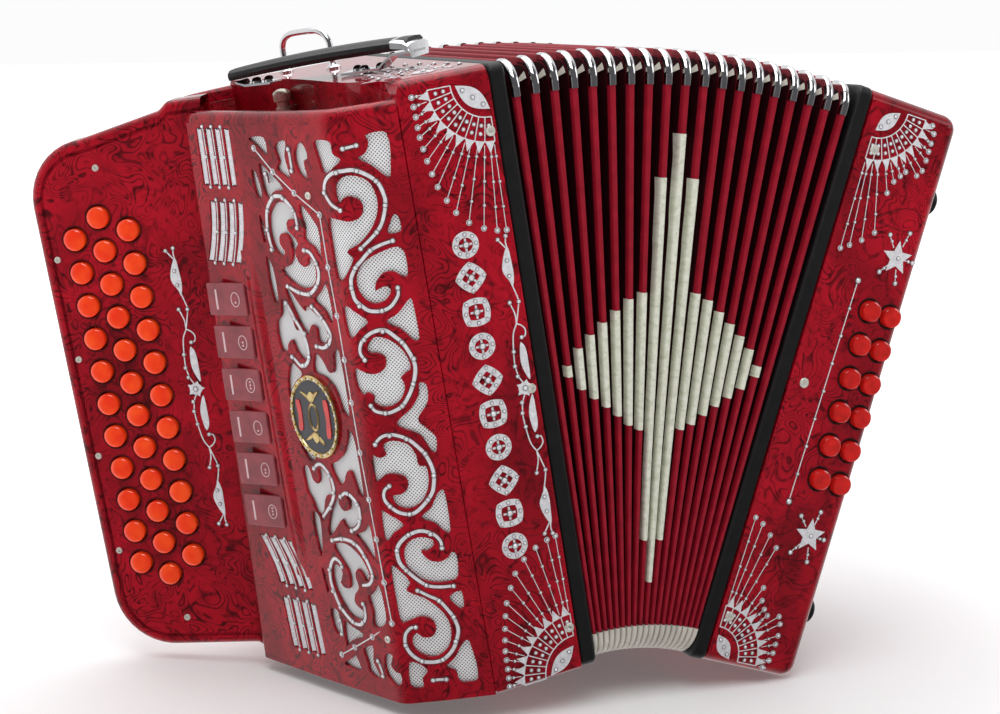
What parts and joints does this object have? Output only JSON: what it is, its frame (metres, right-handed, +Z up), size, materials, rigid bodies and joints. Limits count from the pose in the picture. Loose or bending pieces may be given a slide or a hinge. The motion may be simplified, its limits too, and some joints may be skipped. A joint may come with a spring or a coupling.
{
  "type": "button accordion",
  "caption": "Button accordion with fanned bellows, angled finger board, register switches, pierced grille cover, bass buttons and a carrying handle.",
  "frame": {"origin": "on the floor, under the middle of the bounding box", "axes": "+Z up, +X from the treble side to the bass side, -Y towards the grille front"},
  "size_m": [0.4774, 0.208, 0.3563],
  "materials": {
    "pearloid": "deep red pearl celluloid under clear lacquer",
    "clear_button": "clear orange-red resin",
    "bass_button": "glossy red",
    "register_tab": "pinkish red pearl, polished",
    "bellows_cloth": "dark red cloth and tape over card",
    "black_leather": "grained black leather",
    "black_rubber": "satin black",
    "chrome": "polished",
    "bellows_tape": "cream inlay cloth",
    "silver_mesh": "fine perforated sheet",
    "silver_inlay": "satin silver inlay",
    "rhinestone": "faceted"
  },
  "bodies": {
    "treble": {"treble_case": "pearloid", "finger_board": "pearloid", "grille_cover": "pearloid", "bellows": "bellows_cloth", "carry_handle": "black_leather"},
    "bass": {"bass_case": "pearloid", "bass_end_plate": "pearloid"},
    "air_button": {"air_button": "chrome"},
    "register_1": {"register_switch_1": "register_tab"},
    "register_2": {"register_switch_2": "register_tab"},
    "register_3": {"register_switch_3": "register_tab"},
    "register_4": {"register_switch_4": "register_tab"},
    "register_5": {"register_switch_5": "register_tab"},
    "register_6": {"register_switch_6": "register_tab"},
    "bass_button_01": {"bass_button_01": "bass_button"},
    "bass_button_02": {"bass_button_02": "bass_button"},
    "bass_button_03": {"bass_button_03": "bass_button"},
    "bass_button_04": {"bass_button_04": "bass_button"},
    "bass_button_05": {"bass_button_05": "bass_button"},
    "bass_button_06": {"bass_button_06": "bass_button"},
    "bass_button_07": {"bass_button_07": "bass_button"},
    "bass_button_08": {"bass_button_08": "bass_button"},
    "bass_button_09": {"bass_button_09": "bass_button"},
    "bass_button_10": {"bass_button_10": "bass_button"},
    "bass_button_11": {"bass_button_11": "bass_button"},
    "bass_button_12": {"bass_button_12": "bass_button"},
    "treble_key_01": {"treble_key_01": "clear_button"},
    "treble_key_02": {"treble_key_02": "clear_button"},
    "treble_key_03": {"treble_key_03": "clear_button"},
    "treble_key_04": {"treble_key_04": "clear_button"},
    "treble_key_05": {"treble_key_05": "clear_button"},
    "treble_key_06": {"treble_key_06": "clear_button"},
    "treble_key_07": {"treble_key_07": "clear_button"},
    "treble_key_08": {"treble_key_08": "clear_button"},
    "treble_key_09": {"treble_key_09": "clear_button"},
    "treble_key_10": {"treble_key_10": "clear_button"},
    "treble_key_11": {"treble_key_11": "clear_button"},
    "treble_key_12": {"treble_key_12": "clear_button"},
    "treble_key_13": {"treble_key_13": "clear_button"},
    "treble_key_14": {"treble_key_14": "clear_button"},
    "treble_key_15": {"treble_key_15": "clear_button"},
    "treble_key_16": {"treble_key_16": "clear_button"},
    "treble_key_17": {"treble_key_17": "clear_button"},
    "treble_key_18": {"treble_key_18": "clear_button"},
    "treble_key_19": {"treble_key_19": "clear_button"},
    "treble_key_20": {"treble_key_20": "clear_button"},
    "treble_key_21": {"treble_key_21": "clear_button"},
    "treble_key_22": {"treble_key_22": "clear_button"},
    "treble_key_23": {"treble_key_23": "clear_button"},
    "treble_key_24": {"treble_key_24": "clear_button"},
    "treble_key_25": {"treble_key_25": "clear_button"},
    "treble_key_26": {"treble_key_26": "clear_button"},
    "treble_key_27": {"treble_key_27": "clear_button"},
    "treble_key_28": {"treble_key_28": "clear_button"},
    "treble_key_29": {"treble_key_29": "clear_button"},
    "treble_key_30": {"treble_key_30": "clear_button"},
    "treble_key_31": {"treble_key_31": "clear_button"},
    "treble_key_32": {"treble_key_32": "clear_button"},
    "treble_key_33": {"treble_key_33": "clear_button"},
    "treble_key_34": {"treble_key_34": "clear_button"}
  },
  "joints": [
    {"name": "bellows_fan", "type": "hinge", "parent": "treble", "child": "bass", "pos_m": [0.04697, 0, 0.02685], "axis": [0, 1, 0], "range_deg": [-27.3, 10], "deforming": ["bellows"]},
    {"name": "air_press", "type": "slide", "parent": "bass", "child": "air_button", "axis": [0, -1, 0], "range_m": [0, 0.005]},
    {"name": "register_press_1", "type": "hinge", "parent": "treble", "child": "register_1", "pos_m": [-0.13867, 0.01037, 0.21403], "axis": [0.1408, -0.0101, -0.99], "range_deg": [0, 8]},
    {"name": "register_press_2", "type": "hinge", "parent": "treble", "child": "register_2", "pos_m": [-0.13492, 0.00906, 0.19073], "axis": [0.1408, -0.0101, -0.99], "range_deg": [0, 8]},
    {"name": "register_press_3", "type": "hinge", "parent": "treble", "child": "register_3", "pos_m": [-0.13118, 0.00775, 0.16744], "axis": [0.1408, -0.0101, -0.99], "range_deg": [0, 8]},
    {"name": "register_press_4", "type": "hinge", "parent": "treble", "child": "register_4", "pos_m": [-0.12743, 0.00644, 0.14415], "axis": [0.1408, -0.0101, -0.99], "range_deg": [0, 8]},
    {"name": "register_press_5", "type": "hinge", "parent": "treble", "child": "register_5", "pos_m": [-0.12368, 0.00513, 0.12086], "axis": [0.1408, -0.0101, -0.99], "range_deg": [0, 8]},
    {"name": "register_press_6", "type": "hinge", "parent": "treble", "child": "register_6", "pos_m": [-0.11993, 0.00382, 0.09757], "axis": [0.1408, -0.0101, -0.99], "range_deg": [0, 8]},
    {"name": "bass_press_01", "type": "slide", "parent": "bass", "child": "bass_button_01", "axis": [0, 1, 0], "range_m": [0, 0.004]},
    {"name": "bass_press_02", "type": "slide", "parent": "bass", "child": "bass_button_02", "axis": [0, 1, 0], "range_m": [0, 0.004]},
    {"name": "bass_press_03", "type": "slide", "parent": "bass", "child": "bass_button_03", "axis": [0, 1, 0], "range_m": [0, 0.004]},
    {"name": "bass_press_04", "type": "slide", "parent": "bass", "child": "bass_button_04", "axis": [0, 1, 0], "range_m": [0, 0.004]},
    {"name": "bass_press_05", "type": "slide", "parent": "bass", "child": "bass_button_05", "axis": [0, 1, 0], "range_m": [0, 0.004]},
    {"name": "bass_press_06", "type": "slide", "parent": "bass", "child": "bass_button_06", "axis": [0, 1, 0], "range_m": [0, 0.004]},
    {"name": "bass_press_07", "type": "slide", "parent": "bass", "child": "bass_button_07", "axis": [0, 1, 0], "range_m": [0, 0.004]},
    {"name": "bass_press_08", "type": "slide", "parent": "bass", "child": "bass_button_08", "axis": [0, 1, 0], "range_m": [0, 0.004]},
    {"name": "bass_press_09", "type": "slide", "parent": "bass", "child": "bass_button_09", "axis": [0, 1, 0], "range_m": [0, 0.004]},
    {"name": "bass_press_10", "type": "slide", "parent": "bass", "child": "bass_button_10", "axis": [0, 1, 0], "range_m": [0, 0.004]},
    {"name": "bass_press_11", "type": "slide", "parent": "bass", "child": "bass_button_11", "axis": [0, 1, 0], "range_m": [0, 0.004]},
    {"name": "bass_press_12", "type": "slide", "parent": "bass", "child": "bass_button_12", "axis": [0, 1, 0], "range_m": [0, 0.004]},
    {"name": "key_press_01", "type": "hinge", "parent": "treble", "child": "treble_key_01", "pos_m": [-0.13607, 0.03031, 0.26117], "axis": [0.1654, 0, -0.9862], "range_deg": [0, 1.87]},
    {"name": "key_press_02", "type": "hinge", "parent": "treble", "child": "treble_key_02", "pos_m": [-0.13297, 0.03031, 0.24266], "axis": [0.1654, 0, -0.9862], "range_deg": [0, 1.87]},
    {"name": "key_press_03", "type": "hinge", "parent": "treble", "child": "treble_key_03", "pos_m": [-0.12986, 0.03031, 0.22415], "axis": [0.1654, 0, -0.9862], "range_deg": [0, 1.87]},
    {"name": "key_press_04", "type": "hinge", "parent": "treble", "child": "treble_key_04", "pos_m": [-0.12676, 0.03031, 0.20564], "axis": [0.1654, 0, -0.9862], "range_deg": [0, 1.87]},
    {"name": "key_press_05", "type": "hinge", "parent": "treble", "child": "treble_key_05", "pos_m": [-0.12366, 0.03031, 0.18713], "axis": [0.1654, 0, -0.9862], "range_deg": [0, 1.87]},
    {"name": "key_press_06", "type": "hinge", "parent": "treble", "child": "treble_key_06", "pos_m": [-0.12055, 0.03031, 0.16861], "axis": [0.1654, 0, -0.9862], "range_deg": [0, 1.87]},
    {"name": "key_press_07", "type": "hinge", "parent": "treble", "child": "treble_key_07", "pos_m": [-0.11745, 0.03031, 0.1501], "axis": [0.1654, 0, -0.9862], "range_deg": [0, 1.87]},
    {"name": "key_press_08", "type": "hinge", "parent": "treble", "child": "treble_key_08", "pos_m": [-0.11434, 0.03031, 0.13159], "axis": [0.1654, 0, -0.9862], "range_deg": [0, 1.87]},
    {"name": "key_press_09", "type": "hinge", "parent": "treble", "child": "treble_key_09", "pos_m": [-0.11124, 0.03031, 0.11308], "axis": [0.1654, 0, -0.9862], "range_deg": [0, 1.87]},
    {"name": "key_press_10", "type": "hinge", "parent": "treble", "child": "treble_key_10", "pos_m": [-0.10813, 0.03031, 0.09457], "axis": [0.1654, 0, -0.9862], "range_deg": [0, 1.87]},
    {"name": "key_press_11", "type": "hinge", "parent": "treble", "child": "treble_key_11", "pos_m": [-0.10503, 0.03031, 0.07606], "axis": [0.1654, 0, -0.9862], "range_deg": [0, 1.87]},
    {"name": "key_press_12", "type": "hinge", "parent": "treble", "child": "treble_key_12", "pos_m": [-0.13725, 0.03031, 0.26817], "axis": [0.1654, 0, -0.9862], "range_deg": [0, 2.25]},
    {"name": "key_press_13", "type": "hinge", "parent": "treble", "child": "treble_key_13", "pos_m": [-0.13414, 0.03031, 0.24966], "axis": [0.1654, 0, -0.9862], "range_deg": [0, 2.25]},
    {"name": "key_press_14", "type": "hinge", "parent": "treble", "child": "treble_key_14", "pos_m": [-0.13104, 0.03031, 0.23115], "axis": [0.1654, 0, -0.9862], "range_deg": [0, 2.25]},
    {"name": "key_press_15", "type": "hinge", "parent": "treble", "child": "treble_key_15", "pos_m": [-0.12793, 0.03031, 0.21264], "axis": [0.1654, 0, -0.9862], "range_deg": [0, 2.25]},
    {"name": "key_press_16", "type": "hinge", "parent": "treble", "child": "treble_key_16", "pos_m": [-0.12483, 0.03031, 0.19413], "axis": [0.1654, 0, -0.9862], "range_deg": [0, 2.25]},
    {"name": "key_press_17", "type": "hinge", "parent": "treble", "child": "treble_key_17", "pos_m": [-0.12172, 0.03031, 0.17562], "axis": [0.1654, 0, -0.9862], "range_deg": [0, 2.25]},
    {"name": "key_press_18", "type": "hinge", "parent": "treble", "child": "treble_key_18", "pos_m": [-0.11862, 0.03031, 0.1571], "axis": [0.1654, 0, -0.9862], "range_deg": [0, 2.25]},
    {"name": "key_press_19", "type": "hinge", "parent": "treble", "child": "treble_key_19", "pos_m": [-0.11552, 0.03031, 0.13859], "axis": [0.1654, 0, -0.9862], "range_deg": [0, 2.25]},
    {"name": "key_press_20", "type": "hinge", "parent": "treble", "child": "treble_key_20", "pos_m": [-0.11241, 0.03031, 0.12008], "axis": [0.1654, 0, -0.9862], "range_deg": [0, 2.25]},
    {"name": "key_press_21", "type": "hinge", "parent": "treble", "child": "treble_key_21", "pos_m": [-0.10931, 0.03031, 0.10157], "axis": [0.1654, 0, -0.9862], "range_deg": [0, 2.25]},
    {"name": "key_press_22", "type": "hinge", "parent": "treble", "child": "treble_key_22", "pos_m": [-0.1062, 0.03031, 0.08306], "axis": [0.1654, 0, -0.9862], "range_deg": [0, 2.25]},
    {"name": "key_press_23", "type": "hinge", "parent": "treble", "child": "treble_key_23", "pos_m": [-0.1031, 0.03031, 0.06455], "axis": [0.1654, 0, -0.9862], "range_deg": [0, 2.25]},
    {"name": "key_press_24", "type": "hinge", "parent": "treble", "child": "treble_key_24", "pos_m": [-0.1352, 0.03031, 0.25594], "axis": [0.1654, 0, -0.9862], "range_deg": [0, 2.84]},
    {"name": "key_press_25", "type": "hinge", "parent": "treble", "child": "treble_key_25", "pos_m": [-0.13209, 0.03031, 0.23743], "axis": [0.1654, 0, -0.9862], "range_deg": [0, 2.84]},
    {"name": "key_press_26", "type": "hinge", "parent": "treble", "child": "treble_key_26", "pos_m": [-0.12899, 0.03031, 0.21892], "axis": [0.1654, 0, -0.9862], "range_deg": [0, 2.84]},
    {"name": "key_press_27", "type": "hinge", "parent": "treble", "child": "treble_key_27", "pos_m": [-0.12588, 0.03031, 0.20041], "axis": [0.1654, 0, -0.9862], "range_deg": [0, 2.84]},
    {"name": "key_press_28", "type": "hinge", "parent": "treble", "child": "treble_key_28", "pos_m": [-0.12278, 0.03031, 0.1819], "axis": [0.1654, 0, -0.9862], "range_deg": [0, 2.84]},
    {"name": "key_press_29", "type": "hinge", "parent": "treble", "child": "treble_key_29", "pos_m": [-0.11967, 0.03031, 0.16339], "axis": [0.1654, 0, -0.9862], "range_deg": [0, 2.84]},
    {"name": "key_press_30", "type": "hinge", "parent": "treble", "child": "treble_key_30", "pos_m": [-0.11657, 0.03031, 0.14488], "axis": [0.1654, 0, -0.9862], "range_deg": [0, 2.84]},
    {"name": "key_press_31", "type": "hinge", "parent": "treble", "child": "treble_key_31", "pos_m": [-0.11347, 0.03031, 0.12636], "axis": [0.1654, 0, -0.9862], "range_deg": [0, 2.84]},
    {"name": "key_press_32", "type": "hinge", "parent": "treble", "child": "treble_key_32", "pos_m": [-0.11036, 0.03031, 0.10785], "axis": [0.1654, 0, -0.9862], "range_deg": [0, 2.84]},
    {"name": "key_press_33", "type": "hinge", "parent": "treble", "child": "treble_key_33", "pos_m": [-0.10726, 0.03031, 0.08934], "axis": [0.1654, 0, -0.9862], "range_deg": [0, 2.84]},
    {"name": "key_press_34", "type": "hinge", "parent": "treble", "child": "treble_key_34", "pos_m": [-0.10415, 0.03031, 0.07083], "axis": [0.1654, 0, -0.9862], "range_deg": [0, 2.84]}
  ]
}
